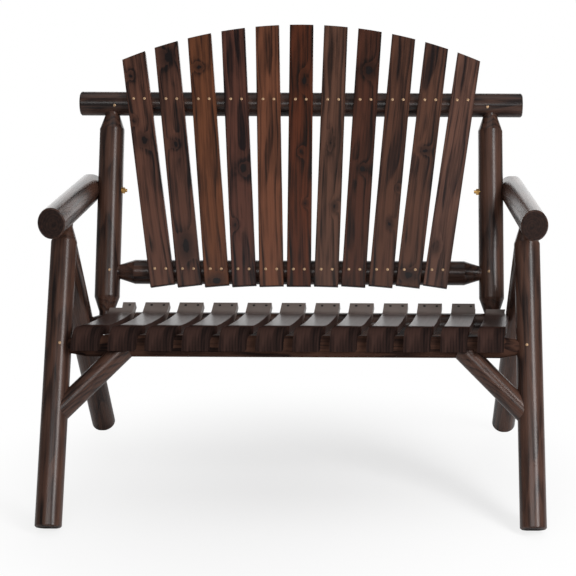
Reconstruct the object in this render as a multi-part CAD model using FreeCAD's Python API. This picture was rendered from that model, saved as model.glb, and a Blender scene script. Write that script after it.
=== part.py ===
import FreeCAD
import Part
import math
import os

# Rustic log bench. Lengths are millimetres, angles are degrees.
# X runs along the bench, Y from front to back, Z up. "left" is the -X side.
# The pieces are built on the front feet line and centred at the end,
# so the finished origin is on the floor under the middle of the bench.

Vector = FreeCAD.Vector

# Logs
log_diameter = 58.0
post_diameter = 59.5
brace_diameter = 48.0
front_rail_diameter = 48.0
sawn_edge = 3.0
fit_clearance = 0.3

# Turned tenons on the rails, posts and front legs
tenon_diameter = 35.0
tenon_depth = 38.0
taper_length = 36.0

# Stance of the side frames
front_leg_spacing = 1041.0
rear_foot_inset = 8.0
front_leg_lean = 29.1
rear_leg_lean = 35.4
leg_joint_drop = 74.0
heel_flat = 3.0

# Heights of the log centres
front_rail_height = 361.0
rear_rail_height = 337.0
arm_height = 636.0
lower_back_rail_height = 453.0
top_rail_height = 834.5

# Back
back_recline = 23.1
post_inset = 62.0
top_rail_overhang = 77.5

# Arms, oval logs sawn to a wavy flat on top
arm_width = 60.0
arm_depth = 69.5
arm_end_round = 22.0
arm_front_overhang = 137.0
arm_rear_overhang = 46.0
arm_flare = 1.6
arm_crown_share = 0.9
arm_flat_cut = 4.5
arm_wave_shares = (0.6, 1.3, 1.0, 1.8, 1.4, 2.1, 1.6)

# Diagonal braces between the front legs and the front rail
brace_drop = 159.5
brace_reach = 153.0

# Back slats, fanned out upwards under one arched top; the margins run
# from the middle of a post to the middle of the outermost slat
back_slat_count = 11
back_slat_gap = 8.5
back_slat_thickness = 18.0
back_slat_edge = 1.2
back_foot_margin = 131.0
back_head_margin = 69.5
back_slat_tail = 40.0
back_crown_height = 187.0
back_arch_radius = 1080.0

# Seat slats, bent over the front rail and up a short ramp on the rear rail
seat_slat_count = 12
seat_slat_thickness = 18.0
seat_front_gap = 22.7
seat_rear_gap = 24.2
seat_end_margin = 76.65
seat_slat_tail = 26.0
seat_ramp_slope = 30.0
seat_heel_radius = 50.0
seat_dish_radius = 1500.0
seat_front_shift = -13.0
seat_rear_shift = 29.5
post_notch_margin = 12.0
leg_notch_margin = 3.0

# Bolts and lag screws
bolt_hole_clearance = 0.1
bolt_diameter = 8.0
bolt_head_diameter = 19.0
bolt_head_height = 4.5
bolt_overhang = 5.0
washer_diameter = 20.0
washer_thickness = 2.0
nut_width = 13.0
nut_height = 6.5
spot_face_depth = 3.0
lag_screw_length = 70.0
lag_head_diameter = 14.0
lag_head_height = 5.0

# Cutting tools run past what they cut by this much
overrun = 5.0

# Worked out from the sizes above
leg_joint_height = arm_height - leg_joint_drop
rear_foot_spacing = front_leg_spacing - 2 * rear_foot_inset
post_spacing = front_leg_spacing - 2 * post_inset
top_rail_length = post_spacing + 2 * top_rail_overhang
back_slat_foot_pitch = (post_spacing - 2 * back_foot_margin) / (back_slat_count - 1)
back_slat_head_pitch = (post_spacing - 2 * back_head_margin) / (back_slat_count - 1)
back_slat_width = back_slat_foot_pitch - back_slat_gap
seat_slat_pitch = (front_leg_spacing - 2 * seat_end_margin) / (seat_slat_count - 1)
seat_slat_front_width = seat_slat_pitch - seat_front_gap
seat_slat_rear_width = seat_slat_pitch - seat_rear_gap
log_radius = log_diameter / 2
front_rail_radius = front_rail_diameter / 2
post_radius = post_diameter / 2
brace_radius = brace_diameter / 2
tenon_radius = tenon_diameter / 2
front_lean = math.radians(front_leg_lean)
rear_lean = math.radians(rear_leg_lean)
recline = math.radians(back_recline)
x_axis = Vector(1, 0, 0)
z_axis = Vector(0, 0, 1)
front_leg_x = front_leg_spacing / 2
rear_foot_x = rear_foot_spacing / 2
post_x = post_spacing / 2
joint_y = leg_joint_height * math.tan(front_lean)
rear_foot_y = joint_y + leg_joint_height * math.tan(rear_lean)


def front_leg_point(height):
    return Vector(front_leg_x, height * math.tan(front_lean), height)


def rear_leg_point(height):
    share = height / leg_joint_height
    x = rear_foot_x + (front_leg_x - rear_foot_x) * share
    y = rear_foot_y + (joint_y - rear_foot_y) * share
    return Vector(x, y, height)


def post_point(height):
    foot_y = rear_leg_point(rear_rail_height).y
    return Vector(post_x, foot_y + (height - rear_rail_height) * math.tan(recline), height)


# Shapes that every log uses

def aim(shape, start, direction):
    """Turn a shape built up +Z so that it runs from start along direction."""
    shape.Placement = FreeCAD.Placement(start, FreeCAD.Rotation(z_axis, direction))
    return shape


def rod(start, end, radius):
    run = end - start
    return aim(Part.makeCylinder(radius, run.Length), start, run)


def turned(start, direction, outline):
    """Solid of revolution; outline is a list of (distance, radius) pairs."""
    points = [Vector(radius, 0, distance) for distance, radius in outline]
    points = [Vector(0, 0, outline[0][0])] + points + [Vector(0, 0, outline[-1][0])]
    face = Part.Face(Part.makePolygon(points + [points[0]]))
    return aim(face.revolve(Vector(0, 0, 0), z_axis, 360), start, direction)


def sawn_end(radius):
    return [(0, radius - sawn_edge), (sawn_edge, radius)]


def tenon_end(radius):
    shoulder = tenon_depth + taper_length
    return [(0, tenon_radius), (tenon_depth, tenon_radius), (shoulder, radius)]


def log(start, end, radius, start_end, finish_end):
    run = end - start
    far_side = [(run.Length - distance, r) for distance, r in reversed(finish_end)]
    return turned(start, run, start_end + far_side)


def bore(tip, direction):
    """Blind hole for a tenon whose tip is given; direction points out of the hole."""
    unit = Vector(direction).normalize()
    start = tip - unit * fit_clearance
    return rod(start, start + unit * (tenon_depth + log_diameter), tenon_radius + fit_clearance)


def mirrored(shape):
    return shape.mirror(Vector(0, 0, 0), x_axis)


def both_sides(name, shape):
    return {name + "_left": mirrored(shape), name + "_right": shape}


def cut_all(shape, tools):
    return shape.cut(Part.makeCompound(tools))


# Joints between the logs, on the right side of the bench

def rail_tip(leg_point, radius):
    return leg_point - x_axis * (radius - tenon_depth)


front_rail_tip = rail_tip(front_leg_point(front_rail_height), log_radius)
rear_rail_tip = rail_tip(rear_leg_point(rear_rail_height), log_radius)
lower_rail_tip = rail_tip(post_point(lower_back_rail_height), post_radius)
post_direction = Vector(0, math.sin(recline), math.cos(recline))
post_foot_tip = post_point(rear_rail_height) + post_direction * (log_radius - tenon_depth)
post_head_tip = post_point(top_rail_height) - post_direction * (log_radius - tenon_depth)
leg_direction = Vector(0, math.sin(front_lean), math.cos(front_lean))
arm_entry = front_leg_point(arm_height - arm_depth / 2)
leg_head_tip = arm_entry + leg_direction * tenon_depth


# Lag screws that draw the rear leg's coped head against the front leg
lag_direction = Vector(0, -math.cos(front_lean), math.sin(front_lean))
lag_seat = Vector(front_leg_x, joint_y, leg_joint_height) - lag_direction * (log_radius + lag_screw_length / 3)


def lag_screws():
    outline = [(-lag_head_height, lag_head_diameter / 2), (0, lag_head_diameter / 2),
               (0, bolt_diameter / 2), (lag_screw_length, bolt_diameter / 2)]
    one = turned(lag_seat, lag_direction, outline)
    return Part.makeCompound([one, mirrored(one)])


def spot_face(seat, direction, diameter):
    """Flat-bottomed recess that lets a head or washer sit square on a round log."""
    unit = Vector(direction).normalize()
    return rod(seat - unit * log_diameter, seat, diameter / 2 + fit_clearance)


def lag_holes():
    tip = lag_seat + lag_direction * (lag_screw_length + bolt_hole_clearance)
    shank_hole = rod(lag_seat - lag_direction * log_radius, tip, bolt_diameter / 2 + bolt_hole_clearance)
    return [shank_hole, spot_face(lag_seat, lag_direction, lag_head_diameter)]


# Arm bolts, through the arm and the back post
bolt_centre = post_point(arm_height)
bolt_inner_seat = bolt_centre - x_axis * (post_radius - spot_face_depth)
arm_bolt_offset = (bolt_centre.y - arm_entry.y) * math.tan(math.radians(arm_flare))
bolt_outer_seat = Vector(front_leg_x - arm_bolt_offset + arm_width / 2 - spot_face_depth,
                         bolt_centre.y, bolt_centre.z)
bolt_end = bolt_inner_seat - x_axis * (washer_thickness + nut_height + bolt_overhang)


def arm_bolt():
    length = bolt_outer_seat.x - bolt_end.x
    outline = [(-bolt_head_height, bolt_head_diameter / 4), (0, bolt_head_diameter / 2),
               (0, bolt_diameter / 2), (length, bolt_diameter / 2)]
    return turned(bolt_outer_seat, -x_axis, outline)


def ring(start, direction, blank, height):
    """Washer or nut: a blank face pulled up, with a bolt hole."""
    hole = Part.makeCylinder(bolt_diameter / 2 + bolt_hole_clearance, height)
    return aim(blank.extrude(Vector(0, 0, height)).cut(hole), start, direction)


def arm_washer():
    disc = Part.Face(Part.Wire(Part.makeCircle(washer_diameter / 2)))
    return ring(bolt_inner_seat, -x_axis, disc, washer_thickness)


def arm_nut():
    corner = nut_width / math.sqrt(3)
    corners = [Vector(corner * math.cos(math.radians(60 * n)), corner * math.sin(math.radians(60 * n)), 0)
               for n in range(6)]
    hexagon = Part.Face(Part.makePolygon(corners + [corners[0]]))
    return ring(bolt_inner_seat - x_axis * washer_thickness, -x_axis, hexagon, nut_height)


def arm_bolt_holes():
    radius = bolt_diameter / 2 + bolt_hole_clearance
    return [rod(bolt_end, bolt_outer_seat + x_axis * log_radius, radius),
            spot_face(bolt_outer_seat, -x_axis, bolt_head_diameter),
            spot_face(bolt_inner_seat, x_axis, washer_diameter)]


# Arms

def arc(centre, start, end):
    """Short arc round centre from start to end."""
    radius = (start - centre).Length
    middle = ((start - centre) + (end - centre)).normalize()
    return Part.Arc(start, centre + middle * radius, end).toShape()


def oval(width, depth):
    """Upright oval face of four tangent arcs, drawn on X and Z."""
    across, up = width / 2, depth / 2
    crown = across * arm_crown_share
    cheek = (across ** 2 + (up - crown) ** 2 - crown ** 2) / (2 * (across - crown))
    top_centre, right_centre = Vector(0, 0, up - crown), Vector(across - cheek, 0, 0)
    corner = top_centre + (top_centre - right_centre).normalize() * crown
    corners = [Vector(i * corner.x, 0, k * corner.z) for i, k in ((1, 1), (-1, 1), (-1, -1), (1, -1))]
    centres = [top_centre, -right_centre, -top_centre, right_centre]
    arcs = [arc(centres[n], corners[n], corners[(n + 1) % 4]) for n in range(4)]
    return Part.Face(Part.Wire(arcs))


arm_length = arm_front_overhang + bolt_centre.y - arm_entry.y + arm_rear_overhang


def along_arm(shape):
    """Carry a shape built along +Y from the arm's front end to its place."""
    shape.translate(Vector(0, -arm_front_overhang, 0))
    shape.rotate(Vector(0, 0, 0), z_axis, arm_flare)
    shape.translate(Vector(front_leg_x, arm_entry.y, arm_height))
    return shape


def arm_blank(growth):
    face = oval(arm_width + 2 * growth, arm_depth + 2 * growth)
    return along_arm(face.extrude(Vector(0, arm_length, 0)))


def swell(start, end):
    """Two tangent arcs that leave start and reach end level."""
    run, rise = end.y - start.y, end.z - start.z
    radius = (run ** 2 + rise ** 2) / (4 * rise)
    middle = (start + end) / 2
    lift = Vector(0, 0, radius)
    return [arc(start + lift, start, middle), arc(end - lift, middle, end)]


def arm_saw_cut():
    """Everything above the wavy sawn top."""
    step = arm_length / (len(arm_wave_shares) - 1)
    crests = [Vector(-arm_width, n * step, arm_depth / 2 - arm_flat_cut * share)
              for n, share in enumerate(arm_wave_shares)]
    wave = [piece for n in range(len(crests) - 1) for piece in swell(crests[n], crests[n + 1])]
    above = Vector(0, 0, arm_depth)
    roof = Part.makePolygon([crests[-1], crests[-1] + above, crests[0] + above, crests[0]])
    face = Part.Face(Part.Wire(wave + roof.Edges))
    return along_arm(face.extrude(Vector(2 * arm_width, 0, 0)))


def arm_outline(half):
    """Face of the arm's outline with its rear corners rounded, drawn on X and Y."""
    inner, shoulder = half - arm_end_round, arm_length - arm_end_round
    front_left, front_right = Vector(-half, 0, 0), Vector(half, 0, 0)
    left, right = Vector(-half, shoulder, 0), Vector(half, shoulder, 0)
    tip_left, tip_right = Vector(-inner, arm_length, 0), Vector(inner, arm_length, 0)
    edges = [Part.makeLine(front_left, front_right), Part.makeLine(front_right, right),
             arc(Vector(inner, shoulder, 0), right, tip_right), Part.makeLine(tip_right, tip_left),
             arc(Vector(-inner, shoulder, 0), tip_left, left), Part.makeLine(left, front_left)]
    return Part.Face(Part.Wire(edges))


def arm_envelope():
    """Room that the arm keeps within, seen from above and from the side."""
    plan = arm_outline(arm_width / 2).extrude(Vector(0, 0, arm_depth))
    plan.translate(Vector(0, 0, -arm_depth / 2))
    side = arm_outline(arm_depth / 2).extrude(Vector(0, 0, arm_width))
    side.translate(Vector(0, 0, -arm_width / 2))
    side.rotate(Vector(0, 0, 0), Vector(0, 1, 0), 90)
    return along_arm(plan.common(side))


def arm():
    blank = arm_blank(0)
    front_edges = [edge for edge in blank.Edges if edge.BoundBox.YMax < arm_entry.y - arm_front_overhang / 2]
    blank = blank.makeChamfer(sawn_edge, front_edges).common(arm_envelope())
    post_blank = rod(post_foot_tip, post_head_tip, post_radius + fit_clearance)
    tools = [arm_saw_cut(), post_blank, bore(leg_head_tip, -leg_direction)]
    return cut_all(blank, tools + arm_bolt_holes())


# Legs

def below_floor():
    size = rear_foot_y + front_leg_spacing
    return Part.makeBox(2 * size, 2 * size, size, Vector(-size, -size, -size))


def heel_start(direction, foot):
    """Centre of the sawn foot, low enough for the heel flat to be planed on the floor."""
    tilt = math.sqrt(1 - direction.z ** 2)
    return foot + direction * ((log_radius * tilt - heel_flat) / direction.z)


def front_leg():
    start = heel_start(leg_direction, front_leg_point(0))
    shaft = log(start, leg_head_tip, log_radius, sawn_end(log_radius), tenon_end(log_radius))
    shaft = shaft.cut(arm_blank(fit_clearance))
    tenon = rod(arm_entry - leg_direction * taper_length, leg_head_tip, tenon_radius)
    shaft = shaft.fuse(tenon).removeSplitter()
    return cut_all(shaft, [below_floor(), bore(front_rail_tip, -x_axis)] + lag_holes())


def rear_leg():
    joint = rear_leg_point(leg_joint_height)
    direction = (joint - rear_leg_point(0)).normalize()
    start = heel_start(direction, rear_leg_point(0))
    shaft = log(start, joint, log_radius, sawn_end(log_radius), sawn_end(log_radius))
    front_leg_room = rod(front_leg_point(0), leg_head_tip, log_radius + fit_clearance)
    return cut_all(shaft, [below_floor(), front_leg_room, bore(rear_rail_tip, -x_axis)] + lag_holes())


def brace():
    leg_end = front_leg_point(front_rail_height) - leg_direction * brace_drop
    rail_end = front_leg_point(front_rail_height) - x_axis * brace_reach
    leg_room = rod(front_leg_point(0), leg_head_tip, log_radius + fit_clearance)
    rail_room = rod(Vector(0, rail_end.y, rail_end.z), front_rail_tip, front_rail_radius + fit_clearance)
    seat_corner = Vector(0, rail_end.y - log_diameter, rail_end.z - fit_clearance)
    seat_room = Part.makeBox(front_leg_x, 2 * log_diameter, brace_reach, seat_corner)
    return cut_all(rod(leg_end, rail_end, brace_radius), [leg_room, rail_room, seat_room])


# Rails and posts

def tenoned_rail(tip, radius):
    ends = tenon_end(radius)
    return log(Vector(-tip.x, tip.y, tip.z), tip, radius, ends, ends)


def pair(tool):
    return [tool, mirrored(tool)]


def rear_seat_rail():
    return cut_all(tenoned_rail(rear_rail_tip, log_radius), pair(bore(post_foot_tip, post_direction)))


def top_rail():
    centre = post_point(top_rail_height)
    start = Vector(-top_rail_length / 2, centre.y, centre.z)
    end = Vector(top_rail_length / 2, centre.y, centre.z)
    shaft = log(start, end, log_radius, sawn_end(log_radius), sawn_end(log_radius))
    return cut_all(shaft, pair(bore(post_head_tip, -post_direction)))


def back_post():
    ends = tenon_end(post_radius)
    shaft = log(post_foot_tip, post_head_tip, post_radius, ends, ends)
    return cut_all(shaft, [bore(lower_rail_tip, -x_axis)] + arm_bolt_holes())


# Back slats, drawn upright and then leaned back against the rails

back_span = (top_rail_height - lower_back_rail_height) / math.cos(recline)
back_normal = Vector(0, -math.cos(recline), math.sin(recline))
back_origin = post_point(lower_back_rail_height) - x_axis * post_x + back_normal * (log_radius + fit_clearance)


def back_slat(number):
    place = number - (back_slat_count - 1) / 2
    foot = Vector(place * back_slat_foot_pitch, 0, 0)
    head = Vector(place * back_slat_head_pitch, 0, back_span)
    run = (head - foot).normalize()
    side = Vector(run.z, 0, -run.x) * (back_slat_width / 2)
    low = foot - run * back_slat_tail
    high = head + run * (back_crown_height + back_slat_width)
    blank = Part.Face(Part.makePolygon([low - side, low + side, high + side, high - side, low - side]))
    blank = blank.extrude(Vector(0, back_slat_thickness, 0))
    arch_centre = Vector(0, -overrun, back_span + back_crown_height - back_arch_radius)
    arch = Part.makeCylinder(back_arch_radius, back_slat_thickness + 2 * overrun, arch_centre, Vector(0, 1, 0))
    slat = blank.common(arch)
    front_edges = [edge for edge in slat.Edges if edge.BoundBox.YMax < back_slat_thickness / 2]
    slat = slat.makeChamfer(back_slat_edge, front_edges)
    slat.translate(Vector(0, -back_slat_thickness, 0))
    slat.rotate(Vector(0, 0, 0), x_axis, -back_recline)
    slat.translate(back_origin)
    return slat


# Seat slats: a side profile pulled along X, trimmed to a plan outline

front_centre = Vector(0, front_leg_point(front_rail_height).y, front_rail_height)
rear_centre = Vector(0, rear_leg_point(rear_rail_height).y, rear_rail_height)
nose_bend_radius = front_rail_radius + fit_clearance
ramp_seat_radius = log_radius + fit_clearance
nose_y = front_centre.y - nose_bend_radius - seat_slat_thickness
ramp_slope = math.radians(seat_ramp_slope)
ramp_run = Vector(0, math.cos(ramp_slope), math.sin(ramp_slope))
ramp_normal = Vector(0, -math.sin(ramp_slope), math.cos(ramp_slope))
tail_y = (rear_centre + ramp_normal * ramp_seat_radius + ramp_run * seat_slat_tail).y


def meeting_point(first, first_reach, second, second_reach):
    """Upper point at the given distances from two points on the YZ plane."""
    run = second - first
    along = (first_reach ** 2 - second_reach ** 2 + run.Length ** 2) / (2 * run.Length)
    unit = Vector(run).normalize()
    upward = Vector(0, -unit.z, unit.y) * math.sqrt(first_reach ** 2 - along ** 2)
    return first + unit * along + upward


# The slat bends round these centres: front rail, long dish, heel of the ramp
heel_centre = rear_centre + ramp_normal * (ramp_seat_radius + seat_heel_radius)
dish_centre = meeting_point(front_centre, nose_bend_radius + seat_dish_radius,
                            heel_centre, seat_dish_radius - seat_heel_radius)


def toward(centre, other, distance):
    return centre + (other - centre).normalize() * distance


def seat_skin(offset):
    """Edges of one face of the slat, offset above its underside, from nose to tail."""
    bend = nose_bend_radius + offset
    low = front_centre - Vector(0, bend, 0)
    crest = toward(front_centre, dish_centre, bend)
    bottom = toward(dish_centre, heel_centre, seat_dish_radius - offset)
    climb = toward(heel_centre, rear_centre, seat_heel_radius - offset)
    tail = climb + ramp_run * seat_slat_tail
    edges = [arc(front_centre, low, crest), arc(dish_centre, crest, bottom),
             arc(heel_centre, bottom, climb), Part.makeLine(climb, tail)]
    return edges, low, tail


def seat_profile():
    under, under_low, under_tail = seat_skin(0)
    over, over_low, over_tail = seat_skin(seat_slat_thickness)
    ends = [Part.makeLine(under_tail, over_tail), Part.makeLine(over_low, under_low)]
    return Part.Face(Part.Wire(Part.__sortEdges__(under + over + ends)))


def seat_slat_centre(number, y):
    share = (y - nose_y) / (tail_y - nose_y)
    place = number - (seat_slat_count - 1) / 2
    return place * seat_slat_pitch + seat_front_shift + (seat_rear_shift - seat_front_shift) * share


def seat_slat_plan(number):
    corners = []
    for y, width in ((nose_y, seat_slat_front_width), (tail_y, seat_slat_rear_width)):
        centre = seat_slat_centre(number, y)
        corners += [Vector(centre - width / 2, y, 0), Vector(centre + width / 2, y, 0)]
    outline = [corners[0], corners[1], corners[3], corners[2], corners[0]]
    face = Part.Face(Part.makePolygon(outline))
    return face.extrude(Vector(0, 0, front_rail_height * 2))


def post_notches():
    """Room for the feet of the back posts at the seat's rear corners."""
    edge = post_x - post_radius - post_notch_margin
    front = post_point(rear_rail_height + log_radius).y - post_radius
    box = Part.makeBox(front_leg_x, log_diameter + post_radius, front_rail_height * 2, Vector(edge, front, 0))
    return [box, mirrored(box)]


def leg_notches():
    """Scallops where the outermost slats pass the rear legs."""
    leg = rod(rear_leg_point(0), rear_leg_point(leg_joint_height), log_radius + leg_notch_margin)
    return [leg, mirrored(leg)]


def seat_slat(number):
    width = seat_slat_front_width + 2 * abs(seat_rear_shift - seat_front_shift)
    blank = seat_profile().extrude(Vector(2 * width, 0, 0))
    blank.translate(Vector(seat_slat_centre(number, nose_y) - width, 0, 0))
    slat = blank.common(seat_slat_plan(number))
    return cut_all(slat, post_notches() + leg_notches())


# The whole bench, one entry to a piece

def pieces():
    parts = {}
    parts.update(both_sides("front_leg", front_leg()))
    parts.update(both_sides("rear_leg", rear_leg()))
    parts.update(both_sides("arm", arm()))
    parts.update(both_sides("back_post", back_post()))
    parts.update(both_sides("brace", brace()))
    parts["front_seat_rail"] = tenoned_rail(front_rail_tip, front_rail_radius)
    parts["rear_seat_rail"] = rear_seat_rail()
    parts["lower_back_rail"] = tenoned_rail(lower_rail_tip, log_radius)
    parts["top_rail"] = top_rail()
    for number in range(back_slat_count):
        parts["back_slat_%02d" % (number + 1)] = back_slat(number)
    for number in range(seat_slat_count):
        parts["seat_slat_%02d" % (number + 1)] = seat_slat(number)
    parts["leg_lag_screws"] = lag_screws()
    for name, one in (("arm_bolts", arm_bolt()), ("arm_washers", arm_washer()), ("arm_nuts", arm_nut())):
        parts[name] = Part.makeCompound([one, mirrored(one)])
    return parts


def main():
    os.makedirs("parts", exist_ok=True)
    parts = pieces()
    box = Part.makeCompound(list(parts.values())).BoundBox
    to_origin = Vector(-box.Center.x, -box.Center.y, 0)
    for name, shape in parts.items():
        shape.translate(to_origin)
        shape.exportStep("parts/" + name + ".step")
    print("%d pieces, %.0f x %.0f x %.0f mm" % (len(parts), box.XLength, box.YLength, box.ZLength))


main()
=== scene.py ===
import math
import random

import bpy
from mathutils import Matrix, Vector


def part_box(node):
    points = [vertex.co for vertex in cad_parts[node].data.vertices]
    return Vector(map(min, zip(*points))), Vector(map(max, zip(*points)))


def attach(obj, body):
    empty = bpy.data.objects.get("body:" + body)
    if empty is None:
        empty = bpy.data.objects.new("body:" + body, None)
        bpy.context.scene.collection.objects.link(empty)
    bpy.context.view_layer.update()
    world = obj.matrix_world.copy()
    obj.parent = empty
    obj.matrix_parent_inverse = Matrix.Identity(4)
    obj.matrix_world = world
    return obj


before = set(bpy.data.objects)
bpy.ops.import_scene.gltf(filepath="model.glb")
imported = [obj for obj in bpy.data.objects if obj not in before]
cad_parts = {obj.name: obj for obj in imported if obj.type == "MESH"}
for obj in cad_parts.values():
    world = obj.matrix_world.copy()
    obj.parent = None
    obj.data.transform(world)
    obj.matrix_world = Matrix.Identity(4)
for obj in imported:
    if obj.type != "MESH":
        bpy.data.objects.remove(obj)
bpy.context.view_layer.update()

# Lengths are metres and angles degrees, unless a name says otherwise
MM = 0.001

# The bench's own sizes, for what is laid out on the CAD pieces
FRONT_LEG_LEAN = 29.1
REAR_LEG_LEAN = 35.4
BACK_RECLINE = 23.1
LOG_RADIUS = 29 * MM
POST_RADIUS = 29.75 * MM
POST_NOTCH_MARGIN = 12 * MM
SLAT_THICKNESS = 18 * MM
BACK_FOOT_PITCH = 65.5 * MM
BACK_HEAD_PITCH = 77.8 * MM
SEAT_SLATS = 12
SEAT_PITCH = 80.7 * MM
SEAT_FRONT_SHIFT = -13 * MM
SEAT_REAR_SHIFT = 29.5 * MM
SEAT_RAMP_SLOPE = 30

# Side view of a seat slat, measured from the front rail's axis
SEAT_NOSE_RADIUS_MM = 42.0
SEAT_CREST_MM = 10.0
SEAT_HEEL_MM = 232.0
SEAT_DIP_MM = 29.0
SEAT_CLIMB = math.tan(math.radians(SEAT_RAMP_SLOPE))

# Where the seat turns glossy behind its dull front, and where its ramps get a painted grey reflection of the
# bright studio
SEAT_SHINE_RANGE_MM = (51.0, 81.0)
SEAT_PAINTED_REFLECTION_RANGE_MM = (220.0, 256.0)
SEAT_RAMP_PAINTED_REFLECTION = 0.75

# Strength of the lacquer's reflection
LOG_SHEEN = 0.25
FRONT_RAIL_SHEEN = 0.0
END_SHEEN = 0.08
BACK_SHEEN = 0.12
SEAT_SHEEN = 0.16

# How much darker than plain wood the logs and seat slats are burned
FRAME_BURN = 0.1
BRACE_BURN = 0.15
RAIL_BURNS = {"rear_seat_rail": 0.3, "lower_back_rail": 0.2, "top_rail": 0.3}
# The front rail is darker partly for its own char and partly as painted shade for the gaps between the seat
# slats' noses
FRONT_RAIL_BURN_AND_SHADE = 0.22
SEAT_BURN = 0.2

# Width of the year rings in logs and seat slats, and where their pith may lie
LOG_RING_MM = 5.0
SEAT_RING_MM = 6.0
SEAT_PITH_RANGE_MM = (90, 160)
PITH_SLIDE_MM = 300

# Height of the wood's relief, and how many times as deep as wide a knot is
WOOD_RELIEF = 0.6 * MM
KNOT_DEPTH = 3

# How squarely a face meets the grain, from a long face to a sawn end
END_FACING = (0.6, 0.9)

# Small screws, which only the scene has
SCREW_RADIUS = 3.2 * MM
SCREW_CROWN = 0.9 * MM
SCREW_LIFT = 0.4 * MM
SCREW_RINGS = 7
SCREW_SIDES = 24
BACK_SCREW_SPACING = 26 * MM
SEAT_SCREW_SPACING = 29 * MM
SEAT_SCREW_RISE = 17 * MM
LOCK_SCREW_TURN = 16
HEAD_SCREW_INSET = 8 * MM

# Cross recess, as shares of the screw's radius and crown
CROSS_HALF_WIDTH = 0.16
CROSS_REACH = 0.62
CROSS_DEPTH = 0.65

# Studio
WHITE = (1, 1, 1, 1)
FLOOR_WHITE = (0.9, 0.9, 0.9, 1)
FLOOR_HALF_SIZE = 12
FLOOR_GLOW = 0.4
FLOOR_MIDDLE = (0.0, -0.15, 0.0)
FLOOR_REACH = 0.9
WORLD_LEVEL = 0.2
BENCH_MIDDLE = (0, 0, 0.5)

# Camera, placed from the front seat rail
CAMERA_RIGHT = 161 * MM
CAMERA_AHEAD = 3402.4 * MM
CAMERA_HEIGHT = 1335 * MM
CAMERA_PITCH = 13.87
CAMERA_ROLL = 0.25
CAMERA_SHIFT = -0.137
CAMERA_SIGHT = 100
FOCAL_LENGTH_MM = 100


def linear(red, green, blue):
    """Scene colour for an 8-bit screen colour."""
    def one(value):
        value = value / 255
        return value / 12.92 if value <= 0.04045 else ((value + 0.055) / 1.055) ** 2.4
    return (one(red), one(green), one(blue), 1.0)


CHARCOAL = linear(22, 17, 17)
LOG_LIGHT = linear(79, 55, 45)
LOG_DARK = linear(27, 20, 19)
SEAT_LIGHT = linear(64, 46, 41)
SEAT_DARK = linear(26, 20, 19)
# Painted reflection: grey painted on the seat ramps in place of the studio's reflection
SEAT_PAINTED_REFLECTION = linear(114, 104, 99)
BRASS = linear(214, 170, 104)
SCREW_PLATING = linear(186, 154, 120)
DARK_COATING = linear(40, 34, 32)


# Places and directions on the frame

def centre_of(name):
    low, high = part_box(name)
    return (Vector(low) + Vector(high)) / 2


def leaning(degrees):
    """Upward direction that leans back by this angle."""
    angle = math.radians(degrees)
    return Vector((0, math.sin(angle), math.cos(angle)))


def facing(degrees):
    """Forward direction, square to something that leans back by this angle."""
    angle = math.radians(degrees)
    return Vector((0, -math.cos(angle), math.sin(angle)))


def axes_matrix(across, out, along):
    return Matrix((across, out, along)).transposed()


def log_axes(along):
    along = along.normalized()
    across = along.orthogonal().normalized()
    return axes_matrix(across, along.cross(across), along)


front_rail = centre_of("front_seat_rail")
rear_rail = centre_of("rear_seat_rail")
lower_rail = centre_of("lower_back_rail")
top_rail = centre_of("top_rail")
back_up = leaning(BACK_RECLINE)
back_out = facing(BACK_RECLINE)
sideways = Vector((1, 0, 0))
upward = Vector((0, 0, 1))


# Node building

class Graph:
    """Adds shader nodes to a tree; inputs are sockets or plain values."""

    def __init__(self, tree):
        self.tree = tree

    def feed(self, socket, value):
        if isinstance(value, bpy.types.NodeSocket):
            self.tree.links.new(value, socket)
        else:
            socket.default_value = value

    def node(self, kind, *inputs, named=None, **settings):
        made = self.tree.nodes.new("ShaderNode" + kind)
        for name, value in settings.items():
            setattr(made, name, value)
        for position, value in enumerate(inputs):
            self.feed(made.inputs[position], value)
        for name, value in (named or {}).items():
            self.feed(made.inputs[name], value)
        return made

    def math(self, operation, *inputs, clamp=False):
        return self.node("Math", *inputs, operation=operation, use_clamp=clamp).outputs[0]

    def plus(self, first, *others):
        for other in others:
            first = self.math("ADD", first, other)
        return first

    def less(self, first, second):
        return self.math("SUBTRACT", first, second)

    def times(self, first, second):
        return self.math("MULTIPLY", first, second)

    def larger(self, first, second, clamp=False):
        return self.math("MAXIMUM", first, second, clamp=clamp)

    def vector(self, operation, *inputs):
        made = self.node("VectorMath", *inputs, operation=operation)
        return made.outputs["Value" if operation in ("LENGTH", "DOT_PRODUCT") else "Vector"]

    def joined(self, x, y, z):
        return self.node("CombineXYZ", x, y, z).outputs[0]

    def step(self, value, low, high, start=0.0, end=1.0):
        """Smooth step from start to end as value goes from low to high."""
        made = self.node("MapRange", value, low, high, start, end, interpolation_type="SMOOTHSTEP")
        return made.outputs[0]

    def mix(self, share, first, second):
        """Mix of two colours, whose sockets on the node are 6 and 7, and 2 for the result."""
        made = self.node("Mix", data_type="RGBA")
        self.feed(made.inputs[0], share)
        self.feed(made.inputs[6], first)
        self.feed(made.inputs[7], second)
        return made.outputs[2]

    def noise_node(self, position, scale, detail, roughness):
        stretched = self.vector("MULTIPLY", position, scale)
        named = {"Vector": stretched, "Scale": 1.0, "Detail": detail, "Roughness": roughness}
        return self.node("TexNoise", named=named)

    def noise(self, position, scale, detail=2.0, roughness=0.55):
        """Cloudy values from 0 to 1; scale is counted in clouds for each unit of length."""
        return self.noise_node(position, scale, detail, roughness).outputs[0]

    def wobble(self, position, scale, reach):
        """Cloudy offsets, up to half the reach each way."""
        cloud = self.noise_node(position, scale, 2.0, 0.5).outputs["Color"]
        return self.vector("MULTIPLY", self.vector("SUBTRACT", cloud, (0.5, 0.5, 0.5)), reach)

    def finish(self, kind, shader):
        self.feed(self.node(kind).inputs[0], shader.outputs[0])


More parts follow.
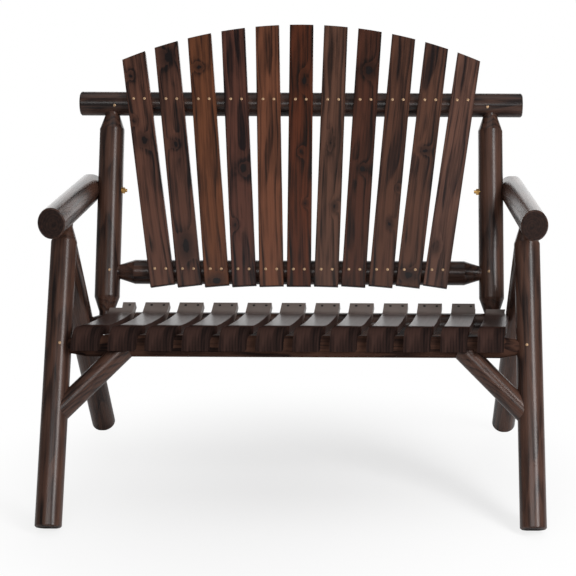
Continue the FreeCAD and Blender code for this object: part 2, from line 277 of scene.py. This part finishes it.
def new_group(name, inputs, outputs):
    group = bpy.data.node_groups.new(name, "ShaderNodeTree")
    for label, kind in inputs:
        group.interface.new_socket(label, in_out="INPUT", socket_type="NodeSocket" + kind)
    for label, kind in outputs:
        group.interface.new_socket(label, in_out="OUTPUT", socket_type="NodeSocket" + kind)
    given = group.nodes.new("NodeGroupInput").outputs
    result = group.nodes.new("NodeGroupOutput").inputs
    return group, Graph(group), given, result


def new_material(name):
    material = bpy.data.materials.new(name)
    material.use_nodes = True
    material.node_tree.nodes.clear()
    return material, Graph(material.node_tree)


def dress(name, material):
    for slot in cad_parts[name].material_slots:
        slot.material = material


# Wood

def knot_group():
    """A knot in millimetres: how far it pushes the rings aside, and how dark it is."""
    ripple_scale, ripple_reach = (0.11, 0.11, 0.07), (9.0, 9.0, 12.0)
    push_fall = -0.35
    heart_range = (1.15, 0.35)
    halo_range, halo_darkness = (3.2, 0.5), 0.6
    inputs = [("Position", "Vector"), ("Place", "Vector"), ("Reach", "Vector")]
    group, graph, given, result = new_group("knot", inputs, [("Push", "Float"), ("Dark", "Float")])
    offset = graph.vector("SUBTRACT", given["Position"], given["Place"])
    offset = graph.vector("ADD", offset, graph.wobble(given["Position"], ripple_scale, ripple_reach))
    distance = graph.vector("LENGTH", graph.vector("DIVIDE", offset, given["Reach"]))
    push = graph.math("EXPONENT", graph.times(graph.math("POWER", distance, 2.0), push_fall))
    heart = graph.step(distance, *heart_range)
    halo = graph.times(graph.step(distance, *halo_range), halo_darkness)
    graph.feed(result["Push"], push)
    graph.feed(result["Dark"], graph.larger(heart, halo))
    return group


def wood_group():
    """Burned and brushed fir in millimetres, with the grain along Z."""
    wander_scale, wander_reach = (0.014, 0.014, 0.0028), (26.0, 26.0, 0.0)
    fibre_scale, fibre_range = (0.75, 0.75, 0.011), (0.3, 0.7)
    streak_scale, streak_range = (0.17, 0.17, 0.0038), (0.27, 0.75)
    patch_scale, patch_range = (0.042, 0.042, 0.0085), (0.36, 0.66)
    # Rings are cones about the pith; latewood darkens slowly and ends sharply
    ring_cone = (1.0, 1.0, 0.035)
    latewood_rise, latewood_fall = (0.35, 0.86), (1.0, 0.88)
    tone_range, char_range = (0.1, 1.15), (0.55, 1.0)
    streak_tone, fibre_tone, latewood_tone = 0.42, 0.24, 0.34
    end_streak_tone, end_latewood_tone, end_burn = 0.5, 0.12, 0.6
    knot_push, knot_tone, knot_relief = 1.4, 1.25, 0.3
    fibre_roughness, end_roughness = 0.16, 0.15
    fibre_relief, latewood_relief = 0.5, 0.35

    inputs = [("Position", "Vector"), ("Pith", "Vector"), ("Ring", "Float"), ("Push", "Float"),
              ("Knots", "Float"), ("Light", "Color"), ("Dark", "Color"), ("Burn", "Float"),
              ("Gloss", "Float"), ("Grain", "Float"), ("Patches", "Float"), ("End", "Float")]
    outputs = [("Color", "Color"), ("Roughness", "Float"), ("Height", "Float")]
    group, graph, given, result = new_group("burned_wood", inputs, outputs)
    place, end, knots = given["Position"], given["End"], given["Knots"]
    side = graph.less(1.0, end)

    # Year rings, fibres, streaks and patches
    bent = graph.vector("ADD", place, graph.wobble(place, wander_scale, wander_reach))
    radial = graph.vector("MULTIPLY", graph.vector("SUBTRACT", bent, given["Pith"]), ring_cone)
    rings = graph.math("DIVIDE", graph.vector("LENGTH", radial), given["Ring"])
    rings = graph.math("FRACT", graph.plus(rings, graph.times(given["Push"], knot_push)))
    latewood = graph.times(graph.step(rings, *latewood_rise), graph.step(rings, *latewood_fall))
    fibre = graph.noise(place, fibre_scale, 3.0, 0.6)
    streak = graph.noise(bent, streak_scale)
    patch = graph.noise(place, patch_scale)

    # Tone from light to dark, on long faces, on sawn ends and in knots
    tone = graph.plus(graph.times(graph.step(streak, *streak_range), streak_tone),
                      graph.times(graph.step(fibre, *fibre_range), fibre_tone),
                      graph.times(latewood, latewood_tone))
    tone = graph.times(tone, given["Grain"])
    tone = graph.plus(tone, graph.times(graph.step(patch, *patch_range), given["Patches"]))
    tone = graph.plus(graph.step(tone, *tone_range), given["Burn"])
    end_tone = graph.plus(graph.times(latewood, end_latewood_tone),
                          graph.times(streak, end_streak_tone), end_burn)
    tone = graph.plus(graph.times(tone, side), graph.times(end_tone, end))
    tone = graph.larger(tone, graph.times(knots, knot_tone), clamp=True)
    colour = graph.mix(tone, given["Light"], given["Dark"])
    colour = graph.mix(graph.step(knots, *char_range), colour, CHARCOAL)

    roughness = graph.plus(graph.times(fibre, fibre_roughness), given["Gloss"],
                           graph.times(end, end_roughness))
    height = graph.less(graph.times(fibre, fibre_relief), graph.times(latewood, latewood_relief))
    height = graph.times(graph.times(height, side), given["Grain"])
    height = graph.less(height, graph.times(knots, knot_relief))
    graph.feed(result["Color"], colour)
    graph.feed(result["Roughness"], roughness)
    graph.feed(result["Height"], height)
    return group


def bend_group():
    """Unrolls a seat slat, so that its path over the front rail becomes its length."""
    depth_share = 0.15
    outputs = [("Position", "Vector"), ("Painted Reflection", "Float"), ("Shine", "Float")]
    group, graph, given, result = new_group("seat_bend", [("Position", "Vector")], outputs)
    x, y, z = graph.node("SeparateXYZ", given["Position"]).outputs
    forward = graph.larger(graph.times(z, -1.0), 0.0)
    turn = graph.larger(graph.math("ARCTAN2", forward, y), 0.0)
    length = graph.less(graph.larger(z, 0.0), graph.times(turn, SEAT_NOSE_RADIUS_MM))
    dip = graph.step(z, SEAT_CREST_MM, SEAT_HEEL_MM, 0.0, SEAT_DIP_MM)
    climb = graph.times(graph.larger(graph.less(z, SEAT_HEEL_MM), 0.0), SEAT_CLIMB)
    above = graph.less(graph.plus(y, dip), climb)
    depth = graph.times(graph.vector("LENGTH", graph.joined(0.0, above, forward)), depth_share)
    graph.feed(result["Position"], graph.joined(x, depth, length))
    # Painted reflection: share of grey painted on the ramps behind the heel
    graph.feed(result["Painted Reflection"], graph.step(z, *SEAT_PAINTED_REFLECTION_RANGE_MM, 0.0, SEAT_RAMP_PAINTED_REFLECTION))
    graph.feed(result["Shine"], graph.step(z, *SEAT_SHINE_RANGE_MM))
    return group


bend_nodes = bend_group()
knot_nodes = knot_group()
wood_nodes = wood_group()


def wood_material(name, origin, axes, light, dark, ring_mm, burn, sheen, pith_mm=(0, 0), knots=(),
                  bump=0.3, gloss=0.26, grain=1.0, patches=0.3, bent=False):
    """Wood whose grain follows a piece: origin and axes place its own millimetre frame."""
    material, graph = new_material(name)
    place = graph.node("TexCoord").outputs["Object"]
    local = graph.node("Mapping", place, tuple(origin), tuple(axes.to_euler()), (MM, MM, MM),
                       vector_type="TEXTURE").outputs[0]
    if bent:
        local, painted_reflection, shine = graph.node("Group", local, node_tree=bend_nodes).outputs
        end = 0.0
        sheen = graph.times(shine, sheen)
    else:
        normal = graph.node("NewGeometry").outputs["Normal"]
        slope = graph.math("ABSOLUTE", graph.vector("DOT_PRODUCT", normal, tuple(axes.col[2])))
        end = graph.step(slope, *END_FACING)
        sheen = graph.step(end, 0.0, 1.0, sheen, END_SHEEN)

    push, darkness = 0.0, 0.0
    for across, along, size, stretch in knots:
        knot = graph.node("Group", node_tree=knot_nodes)
        graph.feed(knot.inputs["Position"], local)
        graph.feed(knot.inputs["Place"], (across, 0, along))
        graph.feed(knot.inputs["Reach"], (size, size * KNOT_DEPTH, size * stretch))
        push = graph.plus(push, knot.outputs["Push"])
        darkness = graph.larger(darkness, knot.outputs["Dark"])

    slide = random.Random(name).uniform(-PITH_SLIDE_MM, PITH_SLIDE_MM)
    wood = graph.node("Group", node_tree=wood_nodes)
    values = {"Position": local, "Pith": (*pith_mm, slide), "Ring": ring_mm, "Push": push,
              "Knots": darkness, "Light": light, "Dark": dark, "Burn": burn,
              "Gloss": gloss, "Grain": grain, "Patches": patches, "End": end}
    for label, value in values.items():
        graph.feed(wood.inputs[label], value)
    colour = wood.outputs["Color"]
    if bent:
        # Painted reflection: grey mixed into the colour of the seat's ramps
        colour = graph.mix(painted_reflection, colour, SEAT_PAINTED_REFLECTION)
    bumped = graph.node("Bump", named={
        "Strength": bump, "Distance": WOOD_RELIEF, "Height": wood.outputs["Height"]})
    surface = graph.node("BsdfPrincipled", named={
        "Base Color": colour, "Roughness": wood.outputs["Roughness"],
        "Normal": bumped.outputs[0], "Specular IOR Level": sheen})
    graph.finish("OutputMaterial", surface)
    return material


# Logs

def dress_log(name, direction, burn, sheen=LOG_SHEEN):
    dress(name, wood_material(name, centre_of(name), log_axes(direction), LOG_LIGHT, LOG_DARK,
                              LOG_RING_MM, burn, sheen, bump=0.06, gloss=0.19, grain=0.85))


log_directions = {
    "front_leg": leaning(FRONT_LEG_LEAN),
    "rear_leg": leaning(-REAR_LEG_LEAN),
    "back_post": back_up,
    "arm": Vector((0, 1, 0)),
}
for piece, direction in log_directions.items():
    for side in ("left", "right"):
        dress_log(piece + "_" + side, direction, FRAME_BURN)

for name, sign in (("brace_left", -1), ("brace_right", 1)):
    low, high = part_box(name)
    width, depth, height = Vector(high) - Vector(low)
    dress_log(name, Vector((-sign * width, depth, height)), BRACE_BURN)

for name, burn in RAIL_BURNS.items():
    dress_log(name, sideways, burn)
# Front rail darkened by its char and by painted shade for the gaps between the seat noses
dress_log("front_seat_rail", sideways, FRONT_RAIL_BURN_AND_SHADE, FRONT_RAIL_SHEEN)

# Back slats from left to right, in millimetres: light and dark colour, width of the rings,
# pith across and deep, burn, and knots as across, along, size and stretch
BACK_SLAT_LOOKS = (
    (linear(92, 60, 48), linear(25, 18, 17), 7, (-8, 40), 0.10,
     ((0, 67, 11, 1.5), (-14, 231, 7, 1.3), (-18, 119, 5, 1.6))),
    (linear(85, 55, 44), linear(20, 15, 15), 8, (4, 30), 0.12,
     ((2, 262, 14, 1.6), (0, 45, 9, 1.3), (0, -205, 12, 2.2))),
    (linear(96, 57, 37), linear(28, 17, 14), 7, (0, 70), 0.0,
     ((-6, 227, 10, 0.9), (0, -298, 15, 0.8))),
    (linear(85, 52, 42), linear(22, 14, 14), 7, (10, 45), 0.16,
     ((10, -32, 12, 1.6), (-15, -169, 7, 1.4))),
    (linear(101, 61, 43), linear(30, 18, 14), 6, (0, 26), 0.0,
     ()),
    (linear(81, 41, 25), linear(18, 11, 8), 7, (-6, 50), 0.08,
     ((8, 181, 8, 2.2), (2, 4, 6, 1.4), (14, -122, 5, 1.4))),
    (linear(87, 59, 47), linear(24, 17, 15), 7, (3, 28), 0.04,
     ((-2, 32, 5, 4.0), (13, -128, 6, 1.8))),
    (linear(70, 40, 29), linear(18, 11, 9), 7, (-10, 60), 0.08,
     ((4, 213, 14, 1.2), (4, -32, 11, 0.9))),
    (linear(78, 50, 38), linear(24, 15, 14), 6, (6, 55), 0.04,
     ((20, -70, 5, 1.4), (8, -158, 6, 1.8))),
    (linear(81, 53, 41), linear(22, 15, 15), 7, (-14, 60), 0.04,
     ((4, 32, 10, 0.8), (0, -273, 14, 0.9))),
    (linear(93, 64, 53), linear(30, 20, 19), 6, (8, 48), 0.04,
     ((-9, -193, 5, 2.4),)),
)
BACK_SLATS = len(BACK_SLAT_LOOKS)


def from_middle(number, count):
    """Place in a row, counted from the middle of the row."""
    return number - (count - 1) / 2


slat_rise = (top_rail - lower_rail).length
for number, (light, dark, ring, pith, burn, knots) in enumerate(BACK_SLAT_LOOKS):
    fan = from_middle(number, BACK_SLATS) * (BACK_HEAD_PITCH - BACK_FOOT_PITCH)
    along = (back_up * slat_rise + sideways * fan).normalized()
    name = "back_slat_%02d" % (number + 1)
    axes = axes_matrix(along.cross(back_out), -back_out, along)
    dress(name, wood_material(name, centre_of(name), axes, light, dark, ring, burn, BACK_SHEEN, pith, knots))

# Seat slats, which run a little to the right on their way back
skew = (SEAT_REAR_SHIFT - SEAT_FRONT_SHIFT) / (rear_rail.y - front_rail.y + 2 * LOG_RADIUS)
along = Vector((skew, 1, 0)).normalized()
axes = axes_matrix(upward.cross(along), upward, along)
for number in range(SEAT_SLATS):
    name = "seat_slat_%02d" % (number + 1)
    centre = centre_of(name)
    origin = Vector((centre.x - skew * (centre.y - front_rail.y), front_rail.y, front_rail.z))
    pith = (random.Random(number).uniform(*SEAT_PITH_RANGE_MM), 0)
    dress(name, wood_material(name, origin, axes, SEAT_LIGHT, SEAT_DARK, SEAT_RING_MM, SEAT_BURN, SEAT_SHEEN,
                              pith, bump=0.1, gloss=0.24, grain=0.5, patches=0.5, bent=True))


# Metal

def metal_material(name, colour, roughness, metallic):
    """Plated metal with fine pitting and a slightly uneven polish."""
    pit_scale, pit_range, pit_shade = (600.0, 600.0, 600.0), (0.45, 0.75), 0.55
    pit_relief, polish_change = 0.1 * MM, 0.2
    material, graph = new_material(name)
    pits = graph.noise(graph.node("TexCoord").outputs["Object"], pit_scale, 3.0, 0.5)
    pit_colour = tuple(value * pit_shade for value in colour[:3]) + (1.0,)
    shade = graph.mix(graph.step(pits, *pit_range), colour, pit_colour)
    rough = graph.plus(graph.times(pits, polish_change), roughness)
    bumped = graph.node("Bump", named={"Strength": 0.15, "Distance": pit_relief, "Height": pits})
    surface = graph.node("BsdfPrincipled", named={
        "Base Color": shade, "Roughness": rough, "Normal": bumped.outputs[0], "Metallic": metallic})
    graph.finish("OutputMaterial", surface)
    return material


brass = metal_material("brass_plating", BRASS, roughness=0.22, metallic=1.0)
screw_metal = metal_material("worn_screw_plating", SCREW_PLATING, roughness=0.42, metallic=0.5)
dark_metal = metal_material("dark_screw_coating", DARK_COATING, roughness=0.4, metallic=0.6)
for name in ("arm_bolts", "arm_washers", "arm_nuts"):
    dress(name, brass)
dress("leg_lag_screws", dark_metal)


# Small screws

def screw_height(x, y):
    """Height of a screw head above its seat: a low dome with a cross cut into it."""
    share = math.hypot(x, y) / SCREW_RADIUS
    in_cross = min(abs(x), abs(y)) < SCREW_RADIUS * CROSS_HALF_WIDTH and share < CROSS_REACH
    return SCREW_CROWN * (1 - share ** 2 - (CROSS_DEPTH if in_cross else 0))


def screw_head_mesh(name, seats):
    """One screw head at each seat, which is a place and an outward direction."""
    vertices, faces = [], []
    for place, out in seats:
        turn = log_axes(out)
        first = len(vertices)
        vertices.append(place + out * screw_height(0, 0))
        for ring in range(1, SCREW_RINGS + 1):
            reach = SCREW_RADIUS * ring / SCREW_RINGS
            for side in range(SCREW_SIDES):
                angle = 2 * math.pi * side / SCREW_SIDES
                x, y = reach * math.cos(angle), reach * math.sin(angle)
                vertices.append(place + turn @ Vector((x, y, screw_height(x, y))))
        for side in range(SCREW_SIDES):
            beside = (side + 1) % SCREW_SIDES
            faces.append((first, first + 1 + side, first + 1 + beside))
            for ring in range(SCREW_RINGS - 1):
                inner = first + 1 + ring * SCREW_SIDES
                outer = inner + SCREW_SIDES
                faces.append((inner + side, outer + side, outer + beside, inner + beside))
    mesh = bpy.data.meshes.new(name)
    mesh.from_pydata([tuple(vertex) for vertex in vertices], [], faces)
    return mesh


def add_screws(name, seats, material):
    screws = bpy.data.objects.new(name, screw_head_mesh(name, seats))
    screws.data.materials.append(material)
    bpy.context.scene.collection.objects.link(screws)
    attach(screws, "root")


def back_screw_seats():
    """Two screws side by side where each back slat crosses a rail."""
    lift = back_out * (LOG_RADIUS + SLAT_THICKNESS + SCREW_LIFT)
    seats = []
    for number in range(BACK_SLATS):
        for rail, pitch in ((lower_rail, BACK_FOOT_PITCH), (top_rail, BACK_HEAD_PITCH)):
            for side in (-1, 1):
                x = from_middle(number, BACK_SLATS) * pitch + side * BACK_SCREW_SPACING / 2
                seats.append((Vector((x, rail.y, rail.z)) + lift, back_out))
    return seats


def seat_screw_seats():
    """Two screws side by side on each ramp, but none in the notches for the posts."""
    ramp_out = leaning(-SEAT_RAMP_SLOPE)
    ramp_run = leaning(90 - SEAT_RAMP_SLOPE)
    lift = ramp_out * (LOG_RADIUS + SLAT_THICKNESS + SCREW_LIFT) + ramp_run * SEAT_SCREW_RISE
    notch_edge = centre_of("back_post_right").x - POST_RADIUS - POST_NOTCH_MARGIN
    seats = []
    for number in range(SEAT_SLATS):
        middle = from_middle(number, SEAT_SLATS) * SEAT_PITCH + SEAT_REAR_SHIFT
        for side in (-1, 1):
            x = middle + side * SEAT_SCREW_SPACING / 2
            if abs(x) < notch_edge - SCREW_RADIUS:
                seats.append((Vector((x, rear_rail.y, rear_rail.z)) + lift, ramp_out))
    return seats


def lock_screw_seats():
    """Screws that lock the tenons, on the front of the logs, most turned a little inwards."""
    turn = math.radians(LOCK_SCREW_TURN)
    leg_out = facing(FRONT_LEG_LEAN)
    forward = facing(0)
    seats = []
    for side in (-1, 1):
        leg = Vector((centre_of("front_leg_right").x * side, front_rail.y, front_rail.z))
        post_x = centre_of("back_post_right").x * side
        post = Vector((post_x, lower_rail.y, lower_rail.z))
        head = Vector((post_x - side * HEAD_SCREW_INSET, top_rail.y, top_rail.z))
        for place, out, radius in ((leg, leg_out, LOG_RADIUS), (post, back_out, POST_RADIUS)):
            direction = out * math.cos(turn) - sideways * side * math.sin(turn)
            seats.append((place + direction * radius, direction))
        seats.append((head + forward * LOG_RADIUS, forward))
    return seats


add_screws("back_slat_screws", back_screw_seats(), screw_metal)
add_screws("seat_slat_screws", seat_screw_seats(), dark_metal)
add_screws("tenon_lock_screws", lock_screw_seats(), screw_metal)


# Floor, world, lights and camera

def add_floor():
    """White paper that the camera sees turn into plain white away from the bench."""
    size = FLOOR_HALF_SIZE
    corners = [(-size, -size, 0), (size, -size, 0), (size, size, 0), (-size, size, 0)]
    mesh = bpy.data.meshes.new("floor")
    mesh.from_pydata(corners, [], [(0, 1, 2, 3)])
    floor = bpy.data.objects.new("floor", mesh)
    material, graph = new_material("studio_floor")
    place = graph.node("TexCoord").outputs["Object"]
    away = graph.vector("LENGTH", graph.vector("SUBTRACT", place, FLOOR_MIDDLE))
    paper = graph.node("BsdfDiffuse", FLOOR_WHITE)
    glow = graph.node("Emission", WHITE, 1.0)
    seen = graph.node("LightPath").outputs["Is Camera Ray"]
    share = graph.times(seen, graph.step(away, 0.0, FLOOR_REACH, FLOOR_GLOW, 1.0))
    graph.finish("OutputMaterial", graph.node("MixShader", share, paper.outputs[0], glow.outputs[0]))
    mesh.materials.append(material)
    bpy.context.scene.collection.objects.link(floor)


def set_world():
    world = bpy.data.worlds.new("studio")
    bpy.context.scene.world = world
    world.use_nodes = True
    world.node_tree.nodes.clear()
    graph = Graph(world.node_tree)
    seen = graph.node("LightPath").outputs["Is Camera Ray"]
    soft = graph.node("Background", WHITE, WORLD_LEVEL)
    plain = graph.node("Background", WHITE, 1.0)
    graph.finish("OutputWorld", graph.node("MixShader", seen, soft.outputs[0], plain.outputs[0]))


def add_light(name, place, target, width, height, brightness):
    """Softbox; brightness is that of its face, where 1 is white."""
    data = bpy.data.lights.new(name, "AREA")
    data.shape = "RECTANGLE"
    data.size = width
    data.size_y = height
    data.energy = brightness * math.pi * width * height
    light = bpy.data.objects.new(name, data)
    light.location = place
    light.rotation_euler = (Vector(target) - Vector(place)).to_track_quat("-Z", "Y").to_euler()
    bpy.context.scene.collection.objects.link(light)


def add_camera():
    data = bpy.data.cameras.new("camera")
    data.lens = FOCAL_LENGTH_MM
    data.shift_x = CAMERA_SHIFT
    data.clip_end = CAMERA_SIGHT
    camera = bpy.data.objects.new("camera", data)
    pitch, roll = math.radians(CAMERA_PITCH), math.radians(CAMERA_ROLL)
    ahead = Vector((0, math.cos(pitch), -math.sin(pitch)))
    down = ahead.cross(sideways)
    right = sideways * math.cos(roll) - down * math.sin(roll)
    above = -(sideways * math.sin(roll) + down * math.cos(roll))
    place = Matrix.Translation((CAMERA_RIGHT, front_rail.y - CAMERA_AHEAD, CAMERA_HEIGHT))
    camera.matrix_world = place @ axes_matrix(right, above, -ahead).to_4x4()
    bpy.context.scene.collection.objects.link(camera)
    bpy.context.scene.camera = camera


add_floor()
set_world()
add_light("key_right", (1.9, -2.0, 1.85), (0, 0, 0.6), width=0.9, height=1.9, brightness=14)
add_light("front", (-0.2, -3.1, 1.95), BENCH_MIDDLE, width=2.3, height=0.6, brightness=7)
add_light("overhead", (0, 0.2, 3.2), BENCH_MIDDLE, width=2.6, height=2.2, brightness=0.8)
add_light("backdrop", (0, 3.2, 1.27), (0, 0, 1.27), width=4.4, height=2.2, brightness=1.7)
add_camera()

bpy.context.scene.view_settings.view_transform = "Standard"
